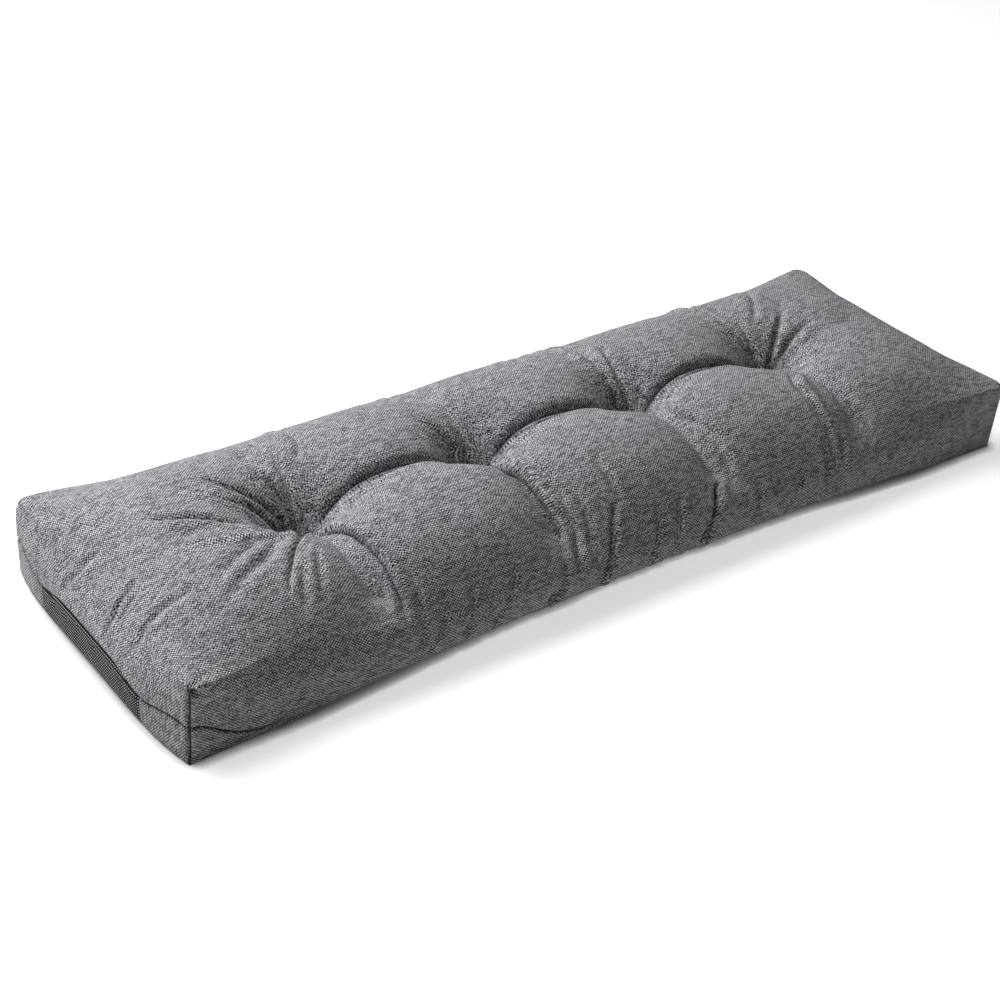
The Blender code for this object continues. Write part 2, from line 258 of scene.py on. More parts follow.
class Net:
    """A shell cut from flat cloth on a grid in (p, q), folded into the box and sewn.

    Cells near a sharp crease are cut in four.  `flat` holds the net coordinates of every point,
    `box` where it lies on the box, `where` how deep it is down a side, from 0 on the face to
    `drop` at the perimeter seam, and `sewn` the point it is sewn to: itself, or at a corner seam
    its partner across the corner.
    """

    def __init__(self, drop, step, face_z, sense, sharp=(), low_q=None, high_q=None, seams=()):
        self.drop, self.sense = drop, sense
        lines_p = net_lines(HALF[0], drop, step)
        lines_q = net_lines(HALF[1], drop, step, seams)
        if low_q is not None:
            lines_q = lines_q[(lines_q > low_q - 10 * SAME) & (lines_q < high_q + 10 * SAME)]
        grid_p, grid_q = np.meshgrid(halved(lines_p), halved(lines_q), indexing="ij")
        self.flat = np.stack([grid_p.ravel(), grid_q.ravel()], axis=1)
        over = np.maximum(np.abs(self.flat) - HALF, 0)
        index = np.arange(grid_p.size).reshape(grid_p.shape)
        middles = index[1::2, 1::2]
        keep = ~(over[middles.ravel()] > SAME).all(1).reshape(middles.shape)
        cut = near_sharp(self.flat[middles.ravel()], sharp).reshape(middles.shape) & keep
        faces = self.plain_faces(index, keep, cut) + self.cut_faces(index, cut)
        if sense < 0:
            faces = [face[::-1] for face in faces]
        sewn = self.sew(index, over)
        used = np.unique(np.concatenate([np.concatenate(faces), sewn[np.concatenate(faces)]]))
        compact = np.full(grid_p.size, -1)
        compact[used] = np.arange(len(used))
        self.faces = [compact[face] for face in faces]
        self.sewn = compact[sewn[used]]
        self.flat = self.flat[used]
        self.where = over[used].max(1)
        face = np.clip(self.flat, -HALF, HALF)
        self.box = np.column_stack([face, face_z - sense * self.where])

    @staticmethod
    def plain_faces(index, keep, cut):
        """One face for each cell, with a point more on a side that it shares with a cut cell."""
        around = np.pad(cut, 1).astype(int)
        below, above = around[1:-1, :-2], around[1:-1, 2:]
        before, after = around[:-2, 1:-1], around[2:, 1:-1]
        faces = []
        for i, j in zip(*(keep & ~cut).nonzero()):
            a, b = 2 * i, 2 * j
            face = [index[a, b]] + [index[a + 1, b]] * below[i, j]
            face += [index[a + 2, b]] + [index[a + 2, b + 1]] * after[i, j]
            face += [index[a + 2, b + 2]] + [index[a + 1, b + 2]] * above[i, j]
            face += [index[a, b + 2]] + [index[a, b + 1]] * before[i, j]
            faces.append(np.array(face))
        return faces

    @staticmethod
    def cut_faces(index, cut):
        faces = []
        for i, j in zip(*cut.nonzero()):
            for a in (2 * i, 2 * i + 1):
                for b in (2 * j, 2 * j + 1):
                    faces.append(np.array([index[a, b], index[a + 1, b], index[a + 1, b + 1],
                                           index[a, b + 1]]))
        return faces

    def sew(self, index, over):
        """For every point, the point it is sewn to."""
        sewn = np.arange(index.size)
        on_side = np.isclose(np.abs(self.flat[:, 0]), HALF[0]) & (over[:, 1] > SAME)
        on_end = np.isclose(np.abs(self.flat[:, 1]), HALF[1]) & (over[:, 0] > SAME)
        for side_p in (-1, 1):
            for side_q in (-1, 1):
                here = (self.flat * (side_p, side_q) > 0).all(1)
                first, second = (here & on_side).nonzero()[0], (here & on_end).nonzero()[0]
                first = first[np.argsort(over[first, 1])]
                second = second[np.argsort(over[second, 0])]
                sewn[first] = second
        return sewn

    def mesh(self, name, places, seam):
        """A mesh of the shell with its points at `places`, its cloth as the UV map, and `seam`, the
        seams' dark stitching and painted shade, as a point attribute.
        """
        corners = np.concatenate(self.faces)
        used, compact = np.unique(self.sewn[corners], return_inverse=True)
        ends = np.cumsum([len(face) for face in self.faces])[:-1]
        data = bpy.data.meshes.new(name)
        data.from_pydata(places[used].tolist(), [], [f.tolist() for f in np.split(compact, ends)])
        layer = data.uv_layers.new(name="cloth")
        layer.data.foreach_set("uv", self.cloth(places)[corners].ravel().astype(np.float32))
        # point attribute "seam": dark stitching and painted shade of the seams
        shade = data.attributes.new("seam", "FLOAT", "POINT")
        shade.data.foreach_set("value", seam[used].astype(np.float32))
        data.validate()
        data.shade_smooth()
        return data

    def cloth(self, places):
        """The net coordinates, eased until the weave is about as long as the cloth at `places`."""
        p, q = self.flat.T
        sunk_by = SEAM_DROP * (1 - np.exp(-((HALF[0] - np.abs(p)) / SEAM_DROP_REACH) ** 2))
        taller = 1 + self.sense * sunk_by / self.drop
        over = np.maximum(np.abs(q) - HALF[1], 0)
        across = np.sign(q) * (np.minimum(np.abs(q), HALF[1]) + over * taller)
        start = np.stack([p, across], axis=1)
        ends = np.concatenate([np.stack([face, np.roll(face, -1)], axis=1) for face in self.faces])
        first, second = np.unique(np.sort(ends, axis=1), axis=0).T
        smooth = puffed(self.box)
        length, plain = [np.linalg.norm(form[first] - form[second], axis=1)
                         for form in (places, smooth)]
        length = np.clip(length, EASE_LEAST * plain, EASE_MOST * plain)
        count = len(start)
        degree = np.bincount(first, minlength=count) + np.bincount(second, minlength=count)
        eased = start.copy()
        for _ in range(EASE_ROUNDS):
            run = eased[second] - eased[first]
            now = np.maximum(np.hypot(*run.T), TINY)
            pull = run * (0.5 * (now - length) / now)[:, None]
            for axis in (0, 1):
                moved = (np.bincount(first, pull[:, axis], count)
                         - np.bincount(second, pull[:, axis], count))
                eased[:, axis] += EASE_STEP * moved / np.maximum(degree, 1)
            eased += EASE_HOLD * (start - eased)
        return eased

    def normals(self, places):
        """Point normals, each the mean of the triangles round the point."""
        fans = [np.stack([np.full(len(face) - 2, face[0]), face[1:-1], face[2:]], axis=1)
                for face in self.faces]
        triangles = self.sewn[np.concatenate(fans)]
        a, b, c = (places[triangles[:, i]] for i in range(3))
        face = np.cross(b - a, c - a)
        total = np.zeros_like(places)
        for i in range(3):
            np.add.at(total, triangles[:, i], face)
        return unit(total)[self.sewn]


# ---- creases, in net coordinates, in millimetres ----
# lean: how far the cloth on the left of the path is pushed over it, or on the right if negative.
# rise and fade: the share of the path in which the crease grows, and in which it dies away.
Crease = namedtuple("Crease", "name path depth width lean rise fade")
CREASES = [Crease(*row) for row in (
    # the front pillows bulge back over the valleys between tufts
    ("valley 12", ((-340, 4), (-290, 6), (-240, 5), (-190, 4), (-135, 2)), 5.4, 7.4, -.8, .15, .15),
    ("valley 23", ((-100, 4), (-50, 6), (0, 6), (50, 4), (105, 2)), 5.4, 7.4, -.8, .15, .15),
    ("valley 34", ((140, 4), (190, 6), (240, 6), (290, 4), (345, 2)), 5.4, 7.4, -.8, .15, .15),
    # fan of the first tuft, towards the left end
    ("fan 1a", ((-366, -14), (-388, -34), (-409, -43), (-437, -39), (-469, -30),
     (-500, -21), (-525, -12)),
     7.0, 4.2, .8, .06, .35),
    ("fan 1b", ((-370, -6), (-392, -16), (-415, -14), (-433, -6), (-455, 9), (-481, 21),
     (-510, 40), (-532, 56)),
     6.4, 6.4, .6, .06, .35),
    ("fan 1c", ((-364, 10), (-387, 26), (-402, 31), (-418, 38), (-433, 47), (-446, 61),
     (-458, 76), (-469, 96)),
     6.0, 5.0, .6, .06, .35),
    ("fan 1d", ((-360, 16), (-369, 32), (-381, 39), (-392, 47), (-403, 54), (-414, 63),
     (-426, 79), (-441, 98)),
     5.4, 4.6, .5, .06, .35),
    ("fan 1e", ((-350, 14), (-353, 34), (-357, 48), (-360, 64), (-365, 82), (-367, 97),
     (-368, 124)),
     5.6, 5.0, .3, .06, .3),
    ("fan 1f", ((-346, 20), (-342, 58), (-335, 89), (-330, 116)), 3.6, 4.9, -.3, .1, .35),
    ("fan 1g", ((-430, -48), (-454, -58), (-486, -74), (-518, -90)), 3.2, 7.0, .3, .3, .4),
    ("fan 1h", ((-408, -56), (-438, -72), (-480, -96), (-511, -113),
     (-541, -136)), 3.0, 7.0, .2, .2, .4),
    ("fan 1i", ((-366, -24), (-385, -50), (-400, -66), (-414, -82), (-430, -102),
     (-447, -124), (-461, -146)),
     5.4, 4.6, .5, .06, .4),
    ("fan 1j", ((-385, -62), (-402, -84), (-418, -100), (-430, -121), (-439, -140), (-453, -174)),
     3.8, 5.8, .3, .15, .4),
    ("fan 1k", ((-390, -84), (-402, -105), (-416, -136), (-425, -158)), 3.2, 4.9, .3, .2, .4),
    # end edge of the left end
    ("end 1", ((-556, -20), (-589, -24), (-612, -27), (-625, -34),
     (-636, -39)), 4.0, 4.4, .5, .35, .2),
    ("end 2", ((-520, -84), (-552, -80), (-582, -79), (-606, -83),
     (-626, -92)), 3.2, 5.6, .4, .4, .25),
    ("end 3", ((-566, 44), (-590, 48), (-618, 54), (-640, 56)), 2.6, 5.0, .3, .4, .3),
    # front of the first tuft: a long double fold down the front face
    ("front 1a", ((-357, -20), (-352, -36), (-347, -56), (-342, -80), (-338, -118),
     (-336, -152), (-337, -192),
     (-345, -214)), 6.0, 5.6, .6, .08, .25),
    ("front 1b", ((-352, -66), (-346, -92), (-345, -110), (-347, -138), (-352, -165), (-366, -203)),
     3.1, 5.8, -.28, .2, .35),
    ("front 1c", ((-340, -88), (-325, -110), (-318, -140), (-318, -170), (-322, -196)),
     2.3, 6.0, -.28, .3, .4),
    # second tuft
    ("back 2a", ((-116, 8), (-112, 21), (-113, 36), (-114, 59),
     (-108, 108)), 5.1, 4.8, .3, .08, .35),
    ("back 2b", ((-123, 10), (-128, 32), (-142, 51), (-168, 88)), 4.4, 4.6, .3, .08, .35),
    ("gash 2", ((-120, -16), (-117, -38), (-114, -61), (-112, -96), (-112, -123),
     (-114, -154), (-123, -184)),
     9.0, 5.4, .9, .15, .3),
    ("front 2a", ((-100, -60), (-97, -92), (-97, -124), (-99, -150)), 2.8, 5.5, .35, .3, .4),
    ("front 2b", ((-104, -126), (-99, -154), (-100, -176), (-106, -196),
     (-124, -222)), 4.0, 5.8, .39, .25, .2),
    ("front 2c", ((-84, -118), (-78, -150), (-84, -184), (-98, -214)), 2.8, 5.8, .35, .35, .25),
    # third tuft
    ("back 3a", ((122, 6), (135, 20), (133, 45), (142, 82), (150, 118)), 5.1, 4.8, .3, .08, .35),
    ("front 3a", ((-34, -96), (-32, -120), (-32, -150), (-31, -182)), 3.3, 6.0, .28, .3, .3),
    ("gash 3a", ((-42, -160), (-48, -180), (-59, -202), (-70, -214),
     (-84, -228)), 5.1, 4.8, .4, .2, .15),
    ("front 3b", ((118, -50), (136, -86), (146, -117), (158, -152)), 3.4, 6.2, .35, .3, .4),
    ("front 3c", ((131, -92), (141, -122), (140, -157), (132, -195)), 3.6, 6.0, .35, .25, .3),
    ("gash 3b", ((118, -168), (111, -188), (99, -202), (80, -217),
     (64, -229)), 5.6, 4.8, .45, .2, .15),
    ("front 3d", ((54, -176), (46, -194), (35, -206), (20, -222)), 3.6, 5.6, .29, .3, .2),
    # fourth tuft
    ("back 4a", ((360, 10), (362, 26), (363, 47), (366, 84)), 4.8, 4.8, .25, .08, .35),
    ("back 4b", ((366, 8), (378, 19), (404, 38), (440, 66)), 4.8, 4.8, -.25, .08, .35),
    ("back 4c", ((372, 5), (384, 12), (407, 17), (459, 26)), 4.4, 5.2, -.3, .08, .35),
    ("back 4d", ((354, 14), (345, 34), (331, 56), (314, 78)), 3.6, 5.6, .3, .08, .4),
    ("front 4a", ((330, -60), (309, -80), (299, -108), (296, -142), (299, -169),
     (296, -196), (286, -218)),
     5.1, 5.7, .42, .25, .15),
    ("front 4b", ((350, -60), (338, -88), (326, -120), (318, -150)), 2.5, 7.6, .21, .3, .5),
    ("front 4c", ((286, -176), (281, -198), (270, -218)), 3.9, 5.5, -.35, .3, .2),
    ("front 4d", ((314, -176), (311, -196), (303, -210), (288, -226)), 4.0, 5.6, .34, .3, .15),
    # small folds of the front face that stand on the seam
    ("ridge 1", ((-318, -176), (-322, -198), (-332, -222)), 3.6, 4.6, .24, .4, .15),
    ("ridge 2", ((-292, -196), (-302, -212), (-318, -228)), 3.5, 4.2, .24, .4, .15),
    ("ridge 3", ((-192, -184), (-199, -198), (-210, -208), (-238, -224)), 3.6, 4.2, .24, .35, .15),
    ("ridge 4", ((-124, -196), (-138, -211), (-160, -226)), 3.5, 4.2, .24, .35, .15),
    ("ridge 5", ((-56, -190), (-66, -204), (-84, -222)), 3.3, 4.2, .24, .35, .15),
    ("ridge 6", ((14, -186), (5, -204), (-12, -224)), 3.3, 4.2, .24, .35, .15),
    ("ridge 7", ((170, -192), (163, -210), (148, -227)), 3.3, 4.4, .24, .35, .15),
    ("ridge 8", ((232, -196), (225, -212), (210, -227)), 3.0, 4.4, .24, .35, .15),
    ("ridge 9", ((392, -200), (388, -214), (374, -228)), 2.4, 4.6, .24, .35, .2),
    ("ridge 10", ((-250, -188), (-258, -206), (-274, -226)), 2.9, 4.4, .24, .35, .2),
    ("ridge 11", ((-470, -208), (-474, -220), (-484, -232)), 2.2, 4.5, .24, .4, .2),
    # the corner near the camera is drawn together where its seam starts
    ("pinch 1", ((-596, -186), (-584, -180), (-566, -176)), 2.6, 3.7, 0, .1, .7),
    ("pinch 2", ((-597, -188), (-590, -196), (-578, -202)), 2.2, 3.3, 0, .1, .7),
    ("pinch 3", ((-598, -187), (-606, -178), (-611, -168)), 2.2, 3.3, 0, .1, .7),
)]
LIP = 0.42  # height of the swelling beside a crease, of its depth
LIP_PLACE = 1.75  # where it stands, and how wide it is, of the crease's width
LIP_WIDTH = 1.0
LEAN_SHIFT = 1.1  # how far a fully leaning lip moves over the crease, of its depth
LEAN_PLACE, LEAN_WIDTH = 1, 1.1  # where it leans most, and how wide, of the crease's width
FELT = 4  # how far from its path a crease is felt, of its width
FIXED_RIM = 0.006  # creases die away this close to the perimeter seam


def smoothed(path):
    """A path with its corners cut twice."""
    for _ in range(2):
        start, end = path[:-1], path[1:]
        cut = np.stack([0.75 * start + 0.25 * end, 0.25 * start + 0.75 * end], axis=1)
        path = np.concatenate([path[:1], cut.reshape(-1, 2), path[-1:]])
    return path


def ramp(share, length):
    share = np.clip(share / max(length, 1e-6), 0, 1)
    return share * share * (3 - 2 * share)


def nearest(points, path):
    """For each point, its distance to the left of a path, its share along it, and the way there."""
    steps = np.linalg.norm(np.diff(path, axis=0), axis=1)
    starts = np.concatenate([[0], np.cumsum(steps)])
    best = np.full(len(points), np.inf)
    signed, share = np.zeros(len(points)), np.zeros(len(points))
    toward = np.zeros((len(points), 2))
    for start, end, step, passed in zip(path[:-1], path[1:], steps, starts):
        run = end - start
        along = np.clip((points - start) @ run / step ** 2, 0, 1)
        offset = points - start - along[:, None] * run
        distance = np.hypot(*offset.T)
        closer = distance < best
        best[closer] = distance[closer]
        left = run[0] * offset[:, 1] - run[1] * offset[:, 0]
        signed[closer] = np.where(left >= 0, distance, -distance)[closer]
        share[closer] = ((passed + along * step) / starts[-1])[closer]
        toward[closer] = np.array([run[1], -run[0]]) / step
    return signed, share, toward


def close_to(flat, path, reach):
    """Which points lie in the box round a path."""
    return np.all((flat > path.min(0) - reach) & (flat < path.max(0) + reach), axis=1).nonzero()[0]


SHARP_FROM = 2.8  # a crease at least this deep, in millimetres, is folded sharply
CORE_FROM = 5.2  # and from this depth its bottom is a narrow groove
CORE_SHARE = 0.60  # depth of that groove, of the crease's depth
CORE_WIDTH = 0.0017
CUT_REACH = 0.0048  # cells this close to a sharp crease are cut in four


def near_sharp(middles, creases):
    marked = np.zeros(len(middles), bool)
    for crease in creases:
        if crease.depth >= SHARP_FROM:
            path = smoothed(np.array(crease.path, float) * MM)
            near = close_to(middles, path, CUT_REACH)
            marked[near] |= np.abs(nearest(middles[near], path)[0]) < CUT_REACH
    return marked


def press(flat, height, shift, crease):
    """Add one crease to `height`, along the normals, and to `shift`, along the cloth."""
    path = smoothed(np.array(crease.path, float) * MM)
    width = crease.width * MM
    near = close_to(flat, path, FELT * width)
    if not len(near):
        return
    signed, share, toward = nearest(flat[near], path)
    grown = ramp(share, crease.rise) * ramp(1 - share, crease.fade)
    size = crease.depth * MM * grown
    place = signed / width
    lip = np.exp(-((np.abs(place) - LIP_PLACE) / LIP_WIDTH) ** 2)
    side = 1 + crease.lean * np.sign(place)
    height[near] += size * (LIP * side * lip - np.exp(-place ** 2))
    if crease.depth >= CORE_FROM:
        height[near] -= CORE_SHARE * size * np.exp(-(signed / CORE_WIDTH) ** 2)
    over = np.exp(-((np.abs(place) - LEAN_PLACE) / LEAN_WIDTH) ** 2)
    over = np.clip(crease.lean * np.sign(place), 0, 1) * over
    shift[near] += (np.abs(size) * LEAN_SHIFT * over * np.sign(place))[:, None] * toward


PLEAT_ROOM = (.2, .8)  # where a pleat lies in its share of the circle
PLEAT_START, PLEAT_BEND = 5, 14  # distance from the tuft, and its bend in degrees
PLEAT_DEPTH, PLEAT_WIDTH, PLEAT_LEAN = (1.2, 2.4), (3.5, 5.5), (-.4, .4)


def radial_pleats(seed, tuft_x, count, angles, length):
    """Short pleats round a tuft, at uneven angles in degrees, where the thread gathers the cloth."""
    random = np.random.default_rng(seed)
    made = []
    for i in range(count):
        turn = i + random.uniform(*PLEAT_ROOM)
        angle = radians(angles[0] + (angles[1] - angles[0]) * turn / count)
        far = random.uniform(*length)
        bend = radians(random.uniform(-PLEAT_BEND, PLEAT_BEND))
        path = [(tuft_x / MM + r * cos(angle + bend * r / far), r * sin(angle + bend * r / far))
                for r in (PLEAT_START, far * .35, far * .7, far)]
        made.append(Crease(f"pleat {i}", path, random.uniform(*PLEAT_DEPTH),
                           random.uniform(*PLEAT_WIDTH), random.uniform(*PLEAT_LEAN), .1, .7))
    return made


# Small folds on the perimeter seam, in millimetres: `tall` is their height, `drift` how far their
# tops stray, `gap` the way to the next one, and `across` the net axis that they run along.
Pucker = namedtuple("Pucker", "across start end tall drift depth gap")
END_PUCKER = Pucker(0, -130, 130, (12, 30), 6, (.8, 1.8), (22, 46))
SIDE_PUCKER = Pucker(1, -560, 560, (12, 34), 8, (1.0, 2.6), (16, 44))
PUCKER_WIDTH, PUCKER_LEAN = (4, 7), (-.5, .5)
PUCKER_MIDDLE = .55  # its path bends here, of its height
PUCKER_CLEAR = 5  # and stops this far from the seam


def puckers(seed, kind, side, drop):
    """The puckers along one side of a shell, on its positive or its negative side."""
    random = np.random.default_rng(seed)
    made, place = [], kind.start + random.uniform(*kind.gap) / 2
    rim = (HALF[kind.across] + drop) / MM
    while place < kind.end:
        tall, drift = random.uniform(*kind.tall), random.uniform(-kind.drift, kind.drift)
        path = [(place + drift, side * (rim - tall)),
                (place + drift * .5, side * (rim - tall * PUCKER_MIDDLE)),
                (place, side * (rim - PUCKER_CLEAR))]
        path = path if kind.across else [point[::-1] for point in path]
        made.append(Crease("pucker", path, random.uniform(*kind.depth),
                           random.uniform(*PUCKER_WIDTH), random.uniform(*PUCKER_LEAN), .6, .25))
        place += random.uniform(*kind.gap)
    return made


def mirrored_creases(creases, along, across):
    """The same creases on another side of the cushion, for what the photograph hides."""
    return [crease._replace(path=[(along * p, across * q) for p, q in crease.path],
                            lean=crease.lean * along * across) for crease in creases]


BACK_DEPTH = .8  # depth of the mirrored folds of the hidden long side
PLEATS, PLEAT_LENGTH = 11, (22, 52)  # round each tuft


def top_creases():
    front_folds = [c for c in CREASES if c.path[-1][1] < -170 and abs(c.path[-1][0]) < 560]
    made = list(CREASES)
    made += [c._replace(depth=c.depth * BACK_DEPTH) for c in mirrored_creases(front_folds, -1, -1)]
    for i, tuft_x in enumerate(TUFT_X):
        made += radial_pleats(10 + i, tuft_x, PLEATS, (0, 360), PLEAT_LENGTH)
    made += radial_pleats(21, TUFT_X[-1], 5, (-60, 50), (60, 105))
    made += puckers(31, SIDE_PUCKER._replace(start=-540), -1, SIDE_DROP)
    made += puckers(32, SIDE_PUCKER, 1, SIDE_DROP)
    made += puckers(33, END_PUCKER, -1, SIDE_DROP) + puckers(34, END_PUCKER, 1, SIDE_DROP)
    return made


def under_creases():
    side, end = SIDE_PUCKER._replace(gap=(18, 48)), END_PUCKER._replace(gap=(20, 40))
    made = puckers(41, side, -1, SEAM_HEIGHT) + puckers(42, side, 1, SEAM_HEIGHT)
    return made + puckers(43, end, -1, SEAM_HEIGHT) + puckers(44, end, 1, SEAM_HEIGHT)


# ---- seams ----
Seam = namedtuple("Seam", "depth width roll roll_place roll_width")  # groove, and roll beside it
RIM_SEAM = Seam(0.0020, 0.0015, 0.0008, 0.0056, 0.0034)
CORNER_SEAM = Seam(0.0044, 0.0019, 0.0016, 0.0056, 0.0032)
JOINT_SEAM = Seam(0.0014, 0.0024, 0, 0.006, 0.004)  # the dark panel to a strip
CORNER_START = 0.004  # how far below its top a corner seam has its full depth
CORNER_TURN = 0.006  # both walls are drawn in along the diagonal this close to a corner seam
CORNER_PINCH = 0.0060  # how far the top of a corner seam is drawn in
CORNER_PINCH_REACH = 0.006
PINCH_PAINTED_SHADE = 0.0035  # and how far round it the cloth folds into a painted shadow
STITCH_AND_SHADE_WIDTH = 0.0014  # half width of the dark line in a seam: dark stitching and painted shade of its groove
TIGHT_FROM, TIGHT_RUN = -0.560, 0.09  # where along the front the perimeter seam draws tight
TIGHT_SHARE = 0.90
LOWEST = 0.0006  # the cloth's own thickness keeps its surface this far off the floor
Wave = namedtuple("Wave", "height length seed")  # of the filling's unevenness, in mm and metres
WAVES = (Wave(1.5, 0.105, 1), Wave(0.8, 0.042, 2), Wave(0.35, 0.018, 3))
UNDER_WAVES = 0.8  # of that height on the bottom shell
WAVES_FROM = 0.012  # the waves of the bottom shell die away below this height
CREASES_FROM = 0.010  # and so do its creases
CREASES_LEFT = 0.002  # counted from this far under the floor, so that a trace is left on it


def groove(distance, seam):
    roll = seam.roll * np.exp(-((distance - seam.roll_place) / seam.roll_width) ** 2)
    return roll - seam.depth * np.exp(-(distance / seam.width) ** 2)


def waves(places, scale, seed):
    """Smooth noise between about -1 and 1 at each place."""
    start = Vector((seed * 7.3, seed * 3.1, seed * 5.7))
    return np.array([noise.noise(Vector(place) / scale + start) for place in places])


def tangents(flat, normals):
    """Unit vectors along growing p and q on the puffed cloth."""
    on_end = (np.abs(flat[:, 0]) > HALF[0])[:, None]
    x_axis, y_axis = np.eye(3)[:2]
    along = unit(x_axis - normals * normals[:, :1])
    across = np.cross(normals, along)
    end_across = unit(y_axis - normals * normals[:, 1:2])
    end_along = np.cross(end_across, normals)
    return np.where(on_end, end_along, along), np.where(on_end, end_across, across)


def formed(net, drop, creases, upper):
    """The places of a net's points on the filled cushion, creased and seamed."""
    places = puffed(net.box)[net.sewn]
    normals = net.normals(places)
    height = np.zeros(len(places))
    shift = np.zeros((len(places), 2))
    for crease in creases:
        press(net.flat, height, shift, crease)

    to_rim = drop - net.where
    still = 1 - np.exp(-(to_rim / FIXED_RIM) ** 2)
    soft = sum(wave.height * waves(places, wave.length, wave.seed) for wave in WAVES)
    if upper:
        height += soft * MM * still
    else:
        height += soft * MM * still * ramp(places[:, 2], WAVES_FROM) * UNDER_WAVES
        height *= ramp(places[:, 2] + CREASES_LEFT, CREASES_FROM)
        shift *= ramp(places[:, 2], CREASES_FROM)[:, None]
    height *= still
    shift *= still[:, None]

    inset = np.abs(net.flat) - HALF
    on_side = net.where > 0
    to_corner = np.where(inset[:, 1] > 0, -inset[:, 0], -inset[:, 1])
    start = ramp(net.where, CORNER_START)
    corner = np.where(on_side, groove(np.abs(to_corner), CORNER_SEAM) * start, 0)[:, None]
    if upper:
        corner_distance = np.hypot(*(HALF - np.abs(np.clip(net.flat, -HALF, HALF))).T)
        corner_distance = np.hypot(corner_distance, net.where)
        height -= CORNER_PINCH * np.exp(-(corner_distance / CORNER_PINCH_REACH) ** 2)
    else:
        joint = np.abs(np.abs(net.flat[:, 1]) - PANEL_WIDTH / 2)
        height += groove(joint, JOINT_SEAM)

    along, across = tangents(net.flat, normals)
    level = unit(normals * np.array([1, 1, 0]))
    near_rim = np.exp(-(to_rim / FIXED_RIM) ** 2)[:, None]
    outward = normals + near_rim * (level - normals)
    diagonal = np.column_stack([np.sign(net.flat) / 2 ** 0.5, np.zeros(len(places))])
    near_corner = np.exp(-(to_corner / CORNER_TURN) ** 2)[:, None]
    moved = places + normals * height[:, None]
    moved += outward * (groove(to_rim, RIM_SEAM) * tightness(net.flat))[:, None]
    moved += (normals + near_corner * (diagonal - normals)) * corner
    moved += along * shift[:, :1] + across * shift[:, 1:]
    moved = moved[net.sewn]
    moved[:, 2] = np.maximum(moved[:, 2], LOWEST)
    return moved


def tightness(flat):
    """How far the perimeter seam shows: the front draws it into the cloth past the near corner."""
    hidden = ramp((flat[:, 0] - TIGHT_FROM) / TIGHT_RUN, 1.0) * (flat[:, 1] < -HALF[1] / 2)
    return 1 - TIGHT_SHARE * hidden


def seam_stitch_and_painted_shade(net, drop):
    """1 in a seam and 0 away from it, at each of the net's points: where dark stitching and painted
    shade of the seam's groove, and painted shadow of the corner's pinched fold, darken the cloth.
    """
    inset = np.abs(net.flat) - HALF
    to_corner = np.where(inset[:, 1] > 0, -inset[:, 0], -inset[:, 1])
    to_corner = np.where(net.where > 0, np.abs(to_corner), 1.0)
    rim = np.exp(-((drop - net.where) / STITCH_AND_SHADE_WIDTH) ** 2) * tightness(net.flat)
    # painted shadow of the fold where the top of a corner seam is pinched
    pinch = np.exp(-(np.hypot(*np.minimum(inset, 0).T) + net.where) ** 2 / PINCH_PAINTED_SHADE ** 2)
    corner = np.exp(-(to_corner / STITCH_AND_SHADE_WIDTH) ** 2)
    return np.maximum.reduce([rim, pinch * (drop == SIDE_DROP), corner])


# ---- materials ----
class Nodes:
    """Short calls for the shader nodes that the cloths are made of."""

    def __init__(self, tree):
        self.tree = tree

    def new(self, kind):
        return self.tree.nodes.new("ShaderNode" + kind)

    def fill(self, node, inputs):
        """Set or link a node's inputs, each given by its place or name, and return its outputs."""
        for place, value in inputs:
            if isinstance(value, bpy.types.NodeSocket):
                self.tree.links.new(value, node.inputs[place])
            else:
                node.inputs[place].default_value = value
        return node.outputs

    def math(self, operation, *inputs):
        node = self.new("Math")
        node.operation = operation
        return self.fill(node, enumerate(inputs))[0]

    def net(self):
        """The net coordinates p and q, in metres."""
        node = self.new("UVMap")
        node.uv_map = "cloth"
        return self.fill(self.new("SeparateXYZ"), [(0, node.outputs[0])])[:2]

    def value(self, attribute):
        node = self.new("Attribute")
        node.attribute_name = attribute
        return node.outputs["Fac"]

    def either(self, second_share, first, second):
        """`first` where the share is 0, and `second` where it is 1."""
        return self.fill(self.new("Mix"), zip((0, 2, 3), (second_share, first, second)))[0]

    def mix(self, share, first, second):
        """The same for colours."""
        node = self.new("Mix")
        node.data_type = "RGBA"
        return self.fill(node, zip((0, 6, 7), (share, first, second)))[2]

    def between(self, value, low, high, to_low=0.0, to_high=1.0):
        inputs = (value, low, high, to_low, to_high)
        return self.fill(self.new("MapRange"), enumerate(inputs))[0]

    def noise(self, p, q, long_p, long_q, layer=0.0, detail=2.0):
        """Noise with grains about long_p by long_q metres, unlike that of another layer."""
        place = (self.math("DIVIDE", p, long_p), self.math("DIVIDE", q, long_q), layer)
        place = self.fill(self.new("CombineXYZ"), enumerate(place))[0]
        inputs = {"Vector": place, "Scale": 1.0, "Detail": detail, "Roughness": NOISE_ROUGH}
        return self.fill(self.new("TexNoise"), inputs.items())["Fac"]

    def bump(self, height, distance, strength):
        inputs = {"Height": height, "Distance": distance, "Strength": strength}
        return self.fill(self.new("Bump"), inputs.items())[0]


def new_material(name, settings):
    made = bpy.data.materials.new(name)
    made.use_nodes = True
    shader = made.node_tree.nodes["Principled BSDF"]
    n = Nodes(made.node_tree)
    n.fill(shader, settings.items())
    return made, n, shader


